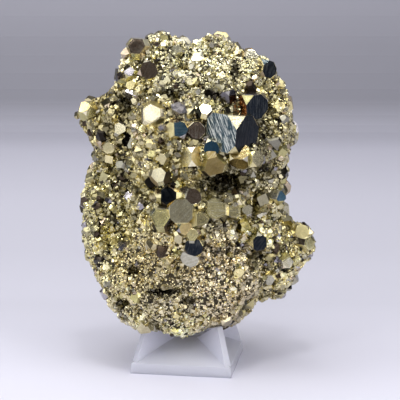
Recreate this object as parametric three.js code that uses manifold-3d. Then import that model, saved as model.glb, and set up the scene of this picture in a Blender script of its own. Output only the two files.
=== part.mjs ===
// A pyrite cluster resting on a small clear display stand.
//
// The cluster grew as one piece: knobbly lumps of fine pyrite with big crystals standing out of them,
// so it is one solid. The stand is a moulded square block with a pyramid on it and four corner fins
// whose sloping tops make a cradle. The stone lies in that cradle by its own weight.
//
// Millimetres, +Z up. The origin is the centre of the stand's underside, and the stone's best side
// faces -Y.

import * as THREE from "three";
import { ConvexGeometry } from "three/addons/geometries/ConvexGeometry.js";
import { ImprovedNoise } from "three/addons/math/ImprovedNoise.js";
import { mergeVertices } from "three/addons/utils/BufferGeometryUtils.js";
import Module from "manifold-3d";

const wasm = await Module();
wasm.setup();

// ---------------------------------------------------------------- driving dimensions of the stand

const FOOT_WIDTH = 25.4; // a one-inch stand
const FOOT_HEIGHT = 2.6; // the upright band round the foot
const FOOT_DRAFT = 0.25; // how far each side leans in over that band, for the mould
const PYRAMID_TOP = 7.8; // width of the flat where the four slopes meet the dish
const PYRAMID_HEIGHT = 7.7;
const DISH_DEPTH = 0.5;
const DISH_SEGMENTS = 32;
const PRONG_HEIGHT = 12;
const PRONG_SPREAD = 18.8; // width across two neighbouring prong tips
const FIN_THICKNESS = 1.7;
const PRONG_TIP = 0.8; // the level bit at the very end of a fin's sloping top
const FIN_ROOT = 0.6; // how far inside the pyramid's top corner a fin starts
const STAND_TURN = -9; // degrees: the stand is set a little askew under the stone

// ---------------------------------------------------------------- driving dimensions of the cluster

const STONE_AT = [-1.9, 0, -3.3]; // where the stone's own origin lies: it sits off centre in its cradle
const CELL = 2.6; // spacing of the grid that the skin is drawn on
const BLEND = 4; // how softly one lump runs into the next
const SEAT_GAP = 1.1; // room between the stone and the fins that carry it
const SEAT_DEPTH = 0.6; // how far under a fin's edge the groove in the stone is centred
const SEAT_BLEND = 0.8;

// Two sizes of unevenness: how far they push the skin out or in, and how far apart the knobs are.
const KNOBS = [
  { height: 1.4, spacing: 6.5 },
  { height: 0.7, spacing: 3.2 },
];
const NOISE_START = 40; // where in the noise field the stone lies
const FAR = 1000; // a distance past any other

// Lumps, measured in the stone's own frame: centre, then half-width, half-depth and half-height.
const LUMPS = [
  { at: [4, 2, 67], half: [19.5, 16.5, 15.5] }, // upper body
  { at: [1, 2, 47], half: [21.5, 16.5, 13] }, // waist
  { at: [-2.5, 0, 28], half: [19.5, 17, 15] }, // lower body
  { at: [-1.5, -1, 16], half: [13.5, 12.5, 4.2] }, // underside
  { at: [22.2, 3, 60.5], half: [6.6, 12, 13.5] }, // right shoulder
  { at: [23, 3, 69], half: [4.6, 9, 8] },
  { at: [-15.6, 3, 62.5], half: [7.8, 10, 10.5] }, // left shoulder
  { at: [-12, 2, 74], half: [5.4, 8, 6.5] },
  { at: [-20, 1, 41], half: [5.8, 12, 13] }, // left flank
  { at: [22, 3, 44], half: [4.6, 9, 8] }, // right waist
  { at: [24.2, 4, 27.6], half: [6.4, 8, 9.2] }, // right wing
  { at: [30.6, 3, 34.6], half: [4, 6, 5.4] }, // tip of the wing
  { at: [-23, 2, 67], half: [3.8, 4, 3.6] }, // knob on the left
  { at: [-10.5, 1, 81.6], half: [4.4, 5, 4.4] }, // crown, from left to right
  { at: [-3.5, 2, 83.2], half: [6, 7, 4.2] },
  { at: [8.8, 2, 84.2], half: [5.2, 6, 3.6] },
  { at: [17.5, 3, 77.5], half: [6, 8, 5.6] },
  { at: [11, -11.5, 58.5], half: [10.5, 7, 7.5] }, // ledge that the biggest crystals stand on
  { at: [-3, -10.5, 60], half: [9, 6, 8] },
  { at: [0, -12.5, 40], half: [11, 6, 8] }, // nest of flat crystals
  { at: [10, -8, 26], half: [10.5, 9, 10] }, // fine-grained bulge, lower right
  { at: [9.5, -1, 18], half: [7, 10, 5] },
  { at: [-8, -7.5, 23], half: [10.5, 9, 8.5] }, // fine-grained bulge, lower left
  { at: [18, -3, 36], half: [6, 8, 6] }, // bridge to the wing
  { at: [16, 4, 23.5], half: [5.5, 7, 5.5] },
  { at: [6, 12, 61], half: [15, 9, 15] }, // back, upper
  { at: [-5, 11, 33], half: [15, 9, 14] }, // back, lower
];

// Hollows, as lumps that are taken away.
const HOLLOWS = [
  { at: [11.5, -19, 47], half: [5.6, 8, 2.2] }, // the deep cave under the ledge
  { at: [-11.7, -20, 30], half: [1.9, 5, 1.6] },
  { at: [19.5, -13, 32.5], half: [2.6, 4, 2.2] },
  { at: [1, -20, 20], half: [7.5, 4.4, 1.4] },
  { at: [-14.5, -16, 22.5], half: [2.4, 4, 1.2] },
  { at: [17.5, -12, 18.5], half: [1.8, 5, 3] },
  { at: [16, 18, 47], half: [8, 6, 2.2] }, // behind
  { at: [-9, 21, 47], half: [3, 6, 5] },
];

// Pyrite's three families of faces, and how far each lies from the centre of a crystal of size 1.
// The first family listed is the habit's own, and the others clip its edges and corners.
const HABITS = {
  cube: { cube: 1, octahedron: 1.4 },
  octahedron: { octahedron: 1, cube: 1.25 },
  pyritohedron: { pyritohedron: 1, octahedron: 1.19 },
};

// The big crystals: centre, half-width, habit, where a main face looks (degrees round from the front
// towards +X, then degrees upwards), and how far the crystal is turned about that direction.
const CRYSTALS = [
  // along the ledge, with the biggest
  { at: [12.5, -14.5, 64], size: 4.4, habit: "cube", facing: [-39, 0], spin: 6 },
  { at: [17.3, -9, 70], size: 2.9, habit: "cube", facing: [25, -5], spin: -6 },
  { at: [-6.2, -12.2, 68.3], size: 2.4, habit: "octahedron", facing: [-8, 10], spin: 40 },
  { at: [-0.4, -14.4, 64.3], size: 2.7, habit: "pyritohedron", facing: [10, 10], spin: 0 },
  { at: [4, -14, 64.4], size: 2, habit: "cube", facing: [0, 2], spin: 3 },
  { at: [6, -13.2, 68.4], size: 1.8, habit: "octahedron", facing: [5, 35], spin: 30 },
  { at: [7.7, -16.2, 60.6], size: 2.2, habit: "cube", facing: [-12, -10], spin: 20 },
  { at: [8, -15.5, 57], size: 2.9, habit: "octahedron", facing: [5, -18], spin: 60 },
  { at: [3, -15.2, 58.2], size: 2.3, habit: "cube", facing: [42, 5], spin: 0 },
  { at: [14.3, -15.8, 57.6], size: 2.4, habit: "cube", facing: [-15, -40], spin: 5 },
  { at: [17.4, -14, 57.4], size: 1.9, habit: "cube", facing: [40, 10], spin: 0 },
  { at: [-4.3, -13.8, 53.6], size: 1.8, habit: "octahedron", facing: [-5, 5], spin: 0 },
  // the nest in the middle
  { at: [-1.8, -13.4, 48.2], size: 2.2, habit: "octahedron", facing: [-25, 15], spin: 40 },
  { at: [2.6, -13.4, 48.2], size: 2.6, habit: "pyritohedron", facing: [8, 5], spin: 20 },
  { at: [-3.9, -15.6, 43.2], size: 2.6, habit: "octahedron", facing: [-20, 25], spin: 15 },
  { at: [0.1, -15, 45], size: 2.4, habit: "cube", facing: [5, 30], spin: 45 },
  { at: [4.4, -15.4, 43], size: 2.5, habit: "pyritohedron", facing: [20, 10], spin: 0 },
  { at: [1, -16.7, 41.2], size: 1.6, habit: "cube", facing: [20, 5], spin: 30 },
  { at: [3, -16.8, 39.4], size: 1.8, habit: "octahedron", facing: [0, 15], spin: 20 },
  { at: [8, -12, 45.2], size: 2.9, habit: "octahedron", facing: [20, 25], spin: 50 },
  { at: [3.5, -16.2, 37], size: 2.1, habit: "cube", facing: [-5, -5], spin: 15 },
  { at: [2.8, -14.8, 34.2], size: 2.1, habit: "cube", facing: [-15, -15], spin: -20 },
  { at: [12.8, -9.8, 43.8], size: 1.6, habit: "cube", facing: [30, 30], spin: 10 },
  { at: [16.2, -7.4, 43.8], size: 1.6, habit: "octahedron", facing: [10, 20], spin: 0 },
  // the crown and the upper left
  { at: [-10.4, -1.6, 83.6], size: 2.6, habit: "octahedron", facing: [-10, 15], spin: 20 },
  { at: [-8, -4.6, 78.2], size: 2.1, habit: "cube", facing: [10, 5], spin: 30 },
  { at: [-12, -3.8, 77.3], size: 1.8, habit: "pyritohedron", facing: [-20, 25], spin: 50 },
  { at: [17.2, 0.8, 81.2], size: 2.1, habit: "octahedron", facing: [10, 20], spin: 70 },
  { at: [20.8, -1.5, 78.6], size: 2.1, habit: "cube", facing: [35, 0], spin: 15 },
  { at: [-23.2, -0.8, 68.2], size: 2.3, habit: "pyritohedron", facing: [-25, 30], spin: 0 },
  { at: [-14.8, -6, 64], size: 1.7, habit: "octahedron", facing: [0, 10], spin: 45 },
  { at: [-17.2, -5, 59.5], size: 1.5, habit: "cube", facing: [-20, 0], spin: 35 },
  { at: [-12, -7.6, 56], size: 1.5, habit: "pyritohedron", facing: [-15, 10], spin: 10 },
  // the right edge and the wing
  { at: [24, -3.6, 47.2], size: 2.1, habit: "pyritohedron", facing: [30, 0], spin: 25 },
  { at: [30.4, 0.2, 37], size: 2, habit: "cube", facing: [15, 30], spin: 20 },
  { at: [31.8, 0, 34.6], size: 2.3, habit: "octahedron", facing: [30, 5], spin: 0 },
  { at: [18.8, -8.8, 36.6], size: 2, habit: "cube", facing: [20, -5], spin: 40 },
  { at: [26.2, -2, 30], size: 2.1, habit: "pyritohedron", facing: [20, 5], spin: 65 },
  { at: [22.6, -2.2, 26], size: 1.7, habit: "octahedron", facing: [-10, -10], spin: 15 },
  // behind
  { at: [12, 17.8, 68], size: 3, habit: "cube", facing: [155, 20], spin: 20 },
  { at: [4, 18.8, 63], size: 3.6, habit: "pyritohedron", facing: [-175, 10], spin: 10 },
  { at: [-5, 15.2, 70], size: 2.3, habit: "octahedron", facing: [-140, 25], spin: 0 },
  { at: [15, 17, 57], size: 2.4, habit: "cube", facing: [165, -20], spin: 50 },
  { at: [-3, 16.8, 43], size: 2.6, habit: "octahedron", facing: [-165, 10], spin: 35 },
  { at: [6, 16, 36], size: 3.2, habit: "cube", facing: [150, 0], spin: 30 },
  { at: [-12, 16, 38], size: 2.2, habit: "pyritohedron", facing: [-160, 20], spin: 0 },
  { at: [2, 16.8, 27], size: 2.4, habit: "octahedron", facing: [170, 0], spin: 55 },
  { at: [24, 10, 30], size: 2, habit: "cube", facing: [-165, 15], spin: 10 },
  // the sides and the top
  { at: [-21.8, 6, 52], size: 2, habit: "cube", facing: [-110, 20], spin: 25 },
  { at: [-23.4, -3, 46], size: 1.8, habit: "octahedron", facing: [-85, 5], spin: 0 },
  { at: [-22.6, 3, 31], size: 2.2, habit: "pyritohedron", facing: [-100, -10], spin: 40 },
  { at: [26.8, 8, 62], size: 2.8, habit: "cube", facing: [105, 0], spin: 35 },
  { at: [26, 1.5, 70], size: 2.1, habit: "octahedron", facing: [80, 10], spin: 20 },
  { at: [25.4, 6, 42], size: 2.4, habit: "pyritohedron", facing: [100, 5], spin: 0 },
  { at: [0, 5.5, 84.2], size: 2, habit: "cube", facing: [130, 40], spin: 15 },
  { at: [10, 5, 85.4], size: 2.1, habit: "octahedron", facing: [165, 60], spin: 0 },
];

// ---------------------------------------------------------------- helpers

const radians = THREE.MathUtils.degToRad;
const SAME_POINT = 1e-4;
const NEARLY_FLAT = 1e-3; // three faces whose directions span less than this meet in no clear point

// A geometry as a manifold-3d solid: only its positions matter, and shared corners are one vertex.
function solidOf(geometry) {
  const bare = geometry.index ? geometry.toNonIndexed() : geometry.clone();
  for (const name of Object.keys(bare.attributes)) if (name !== "position") bare.deleteAttribute(name);
  const merged = mergeVertices(bare, SAME_POINT);
  const vertProperties = merged.attributes.position.array;
  const triVerts = new Uint32Array(merged.index.array);
  return new wasm.Manifold(new wasm.Mesh({ numProp: 3, vertProperties, triVerts }));
}

// A solid back as a geometry with flat faces.
function geometryOf(solid) {
  const mesh = solid.getMesh();
  const points = new Float32Array(mesh.numVert * 3);
  for (let i = 0; i < mesh.numVert; i++) {
    points.set(mesh.vertProperties.subarray(i * mesh.numProp, i * mesh.numProp + 3), i * 3);
  }
  const geometry = new THREE.BufferGeometry();
  geometry.setAttribute("position", new THREE.BufferAttribute(points, 3));
  geometry.setIndex(new THREE.BufferAttribute(mesh.triVerts, 1));
  const flat = geometry.toNonIndexed();
  flat.computeVertexNormals();
  return flat;
}

// ---------------------------------------------------------------- the stand

// A square frustum standing on z = base. CylinderGeometry gives it with four sides, a corner at +Z.
function squareFrustum(lowWidth, highWidth, base, height) {
  const reach = Math.SQRT1_2; // from a side's width to a corner's distance from the axis
  const frustum = new THREE.CylinderGeometry(highWidth * reach, lowWidth * reach, height, 4, 1);
  frustum.rotateY(Math.PI / 4).rotateX(Math.PI / 2);
  return frustum.translate(0, 0, base + height / 2);
}

// One fin: a plate on the diagonal, from the pyramid's top corner out to the prong and down to the foot.
function finGeometry(turn) {
  const footReach = (FOOT_WIDTH / 2 - FOOT_DRAFT) * Math.SQRT2 - FIN_THICKNESS / 2;
  const outline = new THREE.Shape([
    new THREE.Vector2(0, FOOT_HEIGHT / 2),
    new THREE.Vector2(footReach, FOOT_HEIGHT / 2),
    new THREE.Vector2(footReach, FOOT_HEIGHT),
    new THREE.Vector2(PRONG_SPREAD * Math.SQRT1_2, PRONG_HEIGHT),
    new THREE.Vector2(PRONG_SPREAD * Math.SQRT1_2 - PRONG_TIP, PRONG_HEIGHT),
    new THREE.Vector2(PYRAMID_TOP * Math.SQRT1_2 - FIN_ROOT, PYRAMID_HEIGHT),
    new THREE.Vector2(0, PYRAMID_HEIGHT - 2 * DISH_DEPTH),
  ]);
  const fin = new THREE.ExtrudeGeometry(outline, { depth: FIN_THICKNESS, bevelEnabled: false });
  fin.translate(0, 0, -FIN_THICKNESS / 2).rotateX(Math.PI / 2);
  return fin.rotateZ(turn);
}

const FIN_TURNS = [45, 135, 225, 315].map(radians);

function standSolid() {
  const bandTop = FOOT_WIDTH - 2 * FOOT_DRAFT;
  const foot = solidOf(squareFrustum(FOOT_WIDTH, bandTop, 0, FOOT_HEIGHT));
  const slopes = squareFrustum(bandTop, PYRAMID_TOP, FOOT_HEIGHT, PYRAMID_HEIGHT - FOOT_HEIGHT);
  const dishRadius = (PYRAMID_TOP ** 2 / 4 + DISH_DEPTH ** 2) / (2 * DISH_DEPTH);
  const dish = new THREE.SphereGeometry(dishRadius, DISH_SEGMENTS, DISH_SEGMENTS);
  dish.translate(0, 0, PYRAMID_HEIGHT - DISH_DEPTH + dishRadius);
  const block = foot.add(solidOf(slopes));
  const body = FIN_TURNS.reduce((sum, turn) => sum.add(solidOf(finGeometry(turn))), block);
  return body.subtract(solidOf(dish));
}

// ---------------------------------------------------------------- the cluster's skin

const noise = new ImprovedNoise();

// Signed distance to an ellipsoid, near enough close to its surface: negative inside.
function ellipsoid(p, { at, half }) {
  const d = [0, 1, 2].map((a) => p[a] - at[a]);
  const k0 = Math.hypot(...d.map((x, a) => x / half[a]));
  const k1 = Math.hypot(...d.map((x, a) => x / half[a] ** 2));
  return k1 > 0 ? (k0 * (k0 - 1)) / k1 : -Math.min(...half);
}

// The smaller of a and b, rounded off where they are nearly equal.
function softMin(a, b, radius) {
  const h = Math.max(radius - Math.abs(a - b), 0) / radius;
  return Math.min(a, b) - (h * h * radius) / 4;
}

// Distance from p to the line between two points.
function toLine(p, from, to) {
  const along = to.map((x, a) => x - from[a]);
  const offset = p.map((x, a) => x - from[a]);
  const length2 = along.reduce((s, x) => s + x * x, 0);
  const share = THREE.MathUtils.clamp(along.reduce((s, x, a) => s + x * offset[a], 0) / length2, 0, 1);
  return Math.hypot(...offset.map((x, a) => x - along[a] * share));
}

// The top edge of each fin, from the pyramid to the prong, where the stone rests: in the stone's frame.
const SEATS = FIN_TURNS.map((turn) => {
  const at = turn + radians(STAND_TURN);
  const point = (reach, z) =>
    [reach * Math.cos(at), reach * Math.sin(at), z].map((x, a) => x - STONE_AT[a]);
  return [
    point(PYRAMID_TOP * Math.SQRT1_2, PYRAMID_HEIGHT - SEAT_DEPTH),
    point(PRONG_SPREAD * Math.SQRT1_2, PRONG_HEIGHT - SEAT_DEPTH),
  ];
});

// The stone's field: negative inside, zero on its skin.
function stone(p) {
  let d = LUMPS.reduce((low, lump) => softMin(low, ellipsoid(p, lump), BLEND), FAR);
  for (const { height, spacing } of KNOBS) {
    d += height * noise.noise(...p.map((x) => x / spacing + NOISE_START));
  }
  for (const hollow of HOLLOWS) d = -softMin(-d, ellipsoid(p, hollow), BLEND);
  const room = FIN_THICKNESS / 2 + SEAT_DEPTH + SEAT_GAP;
  for (const [from, to] of SEATS) d = -softMin(-d, toLine(p, from, to) - room, SEAT_BLEND);
  return d;
}

// Where the corners of a grid square lie inside and outside crosswise, the skin would touch itself
// along a line. One outside corner is taken inside there, until no such square is left.
function uncross(value, index, cell) {
  const justInside = -cell / 20;
  const steps = [index(1, 0, 0), index(0, 1, 0), index(0, 0, 1)];
  let found = true;
  while (found) {
    found = false;
    for (let n = 0; n < value.length - steps[1] - steps[2]; n++)
      for (const [u, v] of [[0, 1], [1, 2], [2, 0]]) {
        const [a, b, c, d] = [n, n + steps[u], n + steps[u] + steps[v], n + steps[v]];
        const [inA, inB, inC, inD] = [a, b, c, d].map((corner) => value[corner] < 0);
        if (inA !== inC || inB !== inD || inA === inB) continue;
        value[inA ? b : a] = justInside;
        found = true;
      }
  }
}

// The zero surface of a field as a closed mesh: one vertex in each grid cell that the surface
// crosses, at the mean of the crossings on the cell's edges, and one square across each crossed edge.
function skinGeometry(field, low, high, cell) {
  const count = [0, 1, 2].map((a) => Math.ceil((high[a] - low[a]) / cell) + 1);
  const index = (i, j, k) => i + count[0] * (j + count[1] * k);
  const place = (i, j, k) => [low[0] + i * cell, low[1] + j * cell, low[2] + k * cell];
  const value = new Float64Array(count[0] * count[1] * count[2]);
  for (let k = 0; k < count[2]; k++)
    for (let j = 0; j < count[1]; j++)
      for (let i = 0; i < count[0]; i++) value[index(i, j, k)] = field(place(i, j, k));
  uncross(value, index, cell);

  const corners = [...Array(8).keys()].map((n) => [n & 1, (n >> 1) & 1, n >> 2]);
  const edges = corners.flatMap((c, n) => [1, 2, 4].filter((bit) => !(n & bit)).map((bit) => [n, n | bit]));
  const vertexOf = new Map();
  const points = [];
  const cellVertex = (i, j, k) => {
    const key = index(i, j, k);
    if (!vertexOf.has(key)) {
      const sum = [0, 0, 0];
      let crossings = 0;
      for (const [m, n] of edges) {
        const [a, b] = [corners[m], corners[n]];
        const va = value[index(i + a[0], j + a[1], k + a[2])];
        const vb = value[index(i + b[0], j + b[1], k + b[2])];
        if (va < 0 === vb < 0) continue;
        const share = va / (va - vb);
        for (let x = 0; x < 3; x++) sum[x] += a[x] + (b[x] - a[x]) * share;
        crossings++;
      }
      vertexOf.set(key, points.length / 3);
      points.push(...place(i, j, k).map((x, a) => x + (sum[a] / crossings) * cell));
    }
    return vertexOf.get(key);
  };

  const triangles = [];
  const apart = (m, n) => Math.hypot(...[0, 1, 2].map((x) => points[3 * m + x] - points[3 * n + x]));
  for (let k = 1; k < count[2] - 1; k++)
    for (let j = 1; j < count[1] - 1; j++)
      for (let i = 1; i < count[0] - 1; i++)
        for (let axis = 0; axis < 3; axis++) {
          const step = [0, 1, 2].map((a) => (a === axis ? 1 : 0));
          const here = value[index(i, j, k)] < 0;
          const next = value[index(i + step[0], j + step[1], k + step[2])] < 0;
          if (here === next) continue;
          const u = (axis + 1) % 3;
          const v = (axis + 2) % 3;
          const around = [[0, 0], [-1, 0], [-1, -1], [0, -1]].map(([du, dv]) => {
            const at = [i, j, k];
            at[u] += du;
            at[v] += dv;
            return cellVertex(...at);
          });
          const ring = here ? around : around.reverse();
          const [p, q, r, s] = ring;
          if (apart(p, r) < apart(q, s)) triangles.push(p, q, r, p, r, s);
          else triangles.push(q, r, s, q, s, p);
        }
  const geometry = new THREE.BufferGeometry();
  geometry.setAttribute("position", new THREE.Float32BufferAttribute(points, 3));
  geometry.setIndex(triangles);
  return geometry;
}

// The box that the grid fills: the lumps' own box and a margin of three cells.
const LOW = [0, 1, 2].map((a) => Math.min(...LUMPS.map(({ at, half }) => at[a] - half[a])) - 3 * CELL);
const HIGH = [0, 1, 2].map((a) => Math.max(...LUMPS.map(({ at, half }) => at[a] + half[a])) + 3 * CELL);

// ---------------------------------------------------------------- the big crystals

// The outward directions of one family of faces.
function facesOf(family) {
  const signs = [-1, 1];
  const axes = [0, 1, 2];
  const pairs = signs.flatMap((s) => signs.map((t) => [s, t]));
  const turned = (v, a) => axes.map((i) => v[(i + 3 - a) % 3]);
  const faces = {
    cube: axes.flatMap((a) => signs.map((s) => turned([s, 0, 0], a))),
    octahedron: pairs.flatMap(([s, t]) => signs.map((u) => [s, t, u])),
    pyritohedron: axes.flatMap((a) => pairs.map(([s, t]) => turned([2 * s, t, 0], a))),
  };
  return faces[family].map((v) => new THREE.Vector3(...v).normalize());
}

// A crystal at the origin with its own axes along X, Y and Z. Its corners are the points where three
// faces meet that no other face cuts off, and the solid is their hull.
function crystalGeometry(habit, size) {
  const planes = Object.entries(HABITS[habit]).flatMap(([family, distance]) =>
    facesOf(family).map((normal) => new THREE.Plane(normal, -distance * size)),
  );
  const corners = [];
  const frame = new THREE.Matrix3();
  for (let i = 0; i < planes.length; i++)
    for (let j = i + 1; j < planes.length; j++)
      for (let k = j + 1; k < planes.length; k++) {
        const [a, b, c] = [planes[i], planes[j], planes[k]];
        frame.set(...a.normal.toArray(), ...b.normal.toArray(), ...c.normal.toArray());
        if (Math.abs(frame.determinant()) < NEARLY_FLAT) continue;
        const corner = new THREE.Vector3(-a.constant, -b.constant, -c.constant);
        corner.applyMatrix3(frame.invert());
        if (planes.every((plane) => plane.distanceToPoint(corner) < SAME_POINT)) corners.push(corner);
      }
  return new ConvexGeometry(corners);
}

// A crystal in its place: its main face is turned to look along -Y, spun, tipped up and swung round.
function placedCrystal({ at, size, habit, facing, spin }) {
  const front = facesOf(Object.keys(HABITS[habit])[0])[0];
  const toFront = new THREE.Quaternion().setFromUnitVectors(front, new THREE.Vector3(0, -1, 0));
  const [round, up] = facing;
  return crystalGeometry(habit, size)
    .applyQuaternion(toFront)
    .rotateY(radians(spin))
    .rotateX(radians(-up))
    .rotateZ(radians(round))
    .translate(...at);
}

const skin = solidOf(skinGeometry(stone, LOW, HIGH, CELL));
const cluster = CRYSTALS.reduce((sum, crystal) => sum.add(solidOf(placedCrystal(crystal))), skin);

// ---------------------------------------------------------------- the finished object

const group = new THREE.Group();

const pyrite = new THREE.MeshStandardMaterial({ color: "#a99a68", roughness: 0.3, metalness: 1 });
const acrylic = new THREE.MeshStandardMaterial({ color: "#d4d5e2", roughness: 0.1, metalness: 0 });

const clusterMesh = new THREE.Mesh(geometryOf(cluster), pyrite);
clusterMesh.name = "pyrite_cluster";
clusterMesh.position.set(...STONE_AT);

const standMesh = new THREE.Mesh(geometryOf(standSolid()), acrylic);
standMesh.name = "display_stand";
standMesh.rotation.z = radians(STAND_TURN);

group.add(clusterMesh, standMesh);

export default group;
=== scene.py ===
# %% [markdown]
# # A pyrite cluster on its display stand
#
# Pyrite grows as knobbly lumps covered with thousands of small crystals, and here and there a crystal
# had room to grow big. The piece lies in the cradle of a small clear moulded stand. This lesson builds
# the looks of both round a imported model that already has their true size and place:
#
# 1. the dark rock that everything grows on, with knobs and seams;
# 2. the big crystals, cut from pyrite's own planes, with growth steps on their faces;
# 3. the small crystals and the fine druse, scattered over the rock by the ten thousand;
# 4. the clear stand, a pale sweep to stand it on, and soft lights that the facets can mirror.

from math import radians

import bpy
import numpy as np
from mathutils import Matrix, Vector


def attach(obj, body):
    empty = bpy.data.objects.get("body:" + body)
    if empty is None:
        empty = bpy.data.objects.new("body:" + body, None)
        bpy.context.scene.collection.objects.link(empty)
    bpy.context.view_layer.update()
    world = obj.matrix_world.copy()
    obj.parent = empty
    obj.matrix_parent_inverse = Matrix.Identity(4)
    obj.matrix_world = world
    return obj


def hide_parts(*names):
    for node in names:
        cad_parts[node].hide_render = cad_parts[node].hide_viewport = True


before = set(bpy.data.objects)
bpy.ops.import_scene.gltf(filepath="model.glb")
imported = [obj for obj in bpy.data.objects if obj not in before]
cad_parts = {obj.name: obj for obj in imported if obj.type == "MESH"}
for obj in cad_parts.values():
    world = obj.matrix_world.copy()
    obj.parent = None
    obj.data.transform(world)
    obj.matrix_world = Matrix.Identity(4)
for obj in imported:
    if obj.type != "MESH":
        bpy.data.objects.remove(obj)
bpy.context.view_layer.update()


def rounded(values):
    """Metres to a tenth of a millimetre, for printing."""
    return tuple(round(value, 4) for value in values)


def in_scene(name, data):
    """A new object with this data, in the scene and at the origin."""
    made = bpy.data.objects.new(name, data)
    bpy.context.scene.collection.objects.link(made)
    return made


# %% [markdown]
# ## The camera
#
# A stone this small is best seen from a hand's breadth away through a long lens, a little above level,
# so that its upright lines stay upright. The camera could be placed by hand, but an aim point, a
# distance and an angle say the same thing more plainly.

# %% Camera
AIM = Vector((0.0029, 0, 0.0423))  # just above the middle of the whole piece
CAMERA_DISTANCE = 0.26
CAMERA_RISE = radians(8)
LENS = 92

lens = bpy.data.cameras.new("camera")
lens.lens = LENS
lens.sensor_width = 36
lens.clip_start, lens.clip_end = 0.01, 20
camera = in_scene("camera", lens)
backwards = Matrix.Rotation(-CAMERA_RISE, 3, "X") @ Vector((0, -1, 0))
camera.location = AIM + CAMERA_DISTANCE * backwards
camera.rotation_euler = (-backwards).to_track_quat("-Z", "Y").to_euler()
bpy.context.scene.camera = camera
print("the camera stands at", rounded(camera.location))

# %% [markdown]
# ## Putting arrays into meshes
#
# Every new piece here is worked out as numpy arrays: corners, and for each face the numbers of its
# corners. One function hands them to Blender. It also gives each face a small square of its own on a
# map, so that colours kept face by face can be baked without bleeding into each other. Rounding and
# welding are left to modifiers, so the arrays stay plain.

# %% Mesh maker
BAKE_MAP = "OFBake"
CELL_FILL = 0.42  # how far a face's corners lie from the middle of its cell, in cells


def cells_for_faces(counts):
    """A map with one square cell for each face. The corners of a face with n corners are spread evenly
    on a circle in its cell: corner k is at the angle 360 degrees times (k + 1/2) / n."""
    side = int(np.ceil(np.sqrt(len(counts))))
    cell = np.repeat(np.arange(len(counts)), counts)
    first = np.repeat(np.cumsum(counts) - counts, counts)
    angle = 2 * np.pi * (np.arange(len(cell)) - first + 0.5) / np.repeat(counts, counts)
    across = (cell % side + 0.5 + CELL_FILL * np.cos(angle)) / side
    up = (cell // side + 0.5 + CELL_FILL * np.sin(angle)) / side
    return np.stack([across, up], 1)


def mesh_piece(name, points, corners, counts, attributes=None):
    """A mesh object at the origin. points is an array of places, corners lists the points of one face
    after another, and counts is how many corners each face has. attributes holds an array for each
    name: a number or a colour for every face."""
    mesh = bpy.data.meshes.new(name)
    mesh.vertices.add(len(points))
    mesh.vertices.foreach_set("co", np.ascontiguousarray(points, np.float32).ravel())
    mesh.loops.add(len(corners))
    mesh.loops.foreach_set("vertex_index", np.ascontiguousarray(corners, np.int32))
    mesh.polygons.add(len(counts))
    starts = np.cumsum(counts) - counts
    mesh.polygons.foreach_set("loop_start", starts.astype(np.int32))
    mesh.update(calc_edges=True)
    for key, values in (attributes or {}).items():
        kind = "FLOAT" if values.ndim == 1 else "FLOAT_COLOR"
        layer = mesh.attributes.new(key, kind, "FACE")
        if values.ndim == 1:
            layer.data.foreach_set("value", values.astype(np.float32))
        else:
            rgba = np.concatenate([values, np.ones((len(values), 1))], 1)
            layer.data.foreach_set("color", rgba.astype(np.float32).ravel())
    mesh.shade_flat()
    layer = mesh.uv_layers.new(name=BAKE_MAP)
    layer.uv.foreach_set("vector", cells_for_faces(counts).astype(np.float32).ravel())
    return in_scene(name, mesh)


def round_edges(piece, width, segments, sharp=25):
    """Rounds every edge that turns by more than so many degrees."""
    rounding = piece.modifiers.new("rounded_edges", "BEVEL")
    rounding.width, rounding.segments = width, segments
    rounding.limit_method = "ANGLE"
    rounding.angle_limit = radians(sharp)


def weld(piece):
    """Merges the corners that lie in one place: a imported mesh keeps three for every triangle."""
    piece.modifiers.new("weld", "WELD").merge_threshold = 1e-6


# %% [markdown]
# ## Writing materials as sums
#
# A finish is mostly arithmetic on patterns. Wiring every Math node by hand hides that, so a small class
# wraps a socket and turns Python's own operators into nodes. Anything else comes from one method that
# takes the node's type, its settings and what goes into its sockets.

# %% Material kit
class Wire:
    """One value in a material. The operators + - * add Math nodes, from either side."""

    def __init__(self, finish, socket):
        self.finish, self.socket = finish, socket

    def _with(self, operation, first, second):
        inputs = {0: first, 1: second}
        return self.finish.node("ShaderNodeMath", {"operation": operation}, inputs)

    def __add__(self, other):
        return self._with("ADD", self, other)

    def __radd__(self, other):
        return self._with("ADD", other, self)

    def __sub__(self, other):
        return self._with("SUBTRACT", self, other)

    def __rsub__(self, other):
        return self._with("SUBTRACT", other, self)

    def __mul__(self, other):
        return self._with("MULTIPLY", self, other)

    def __rmul__(self, other):
        return self._with("MULTIPLY", other, self)


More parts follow.
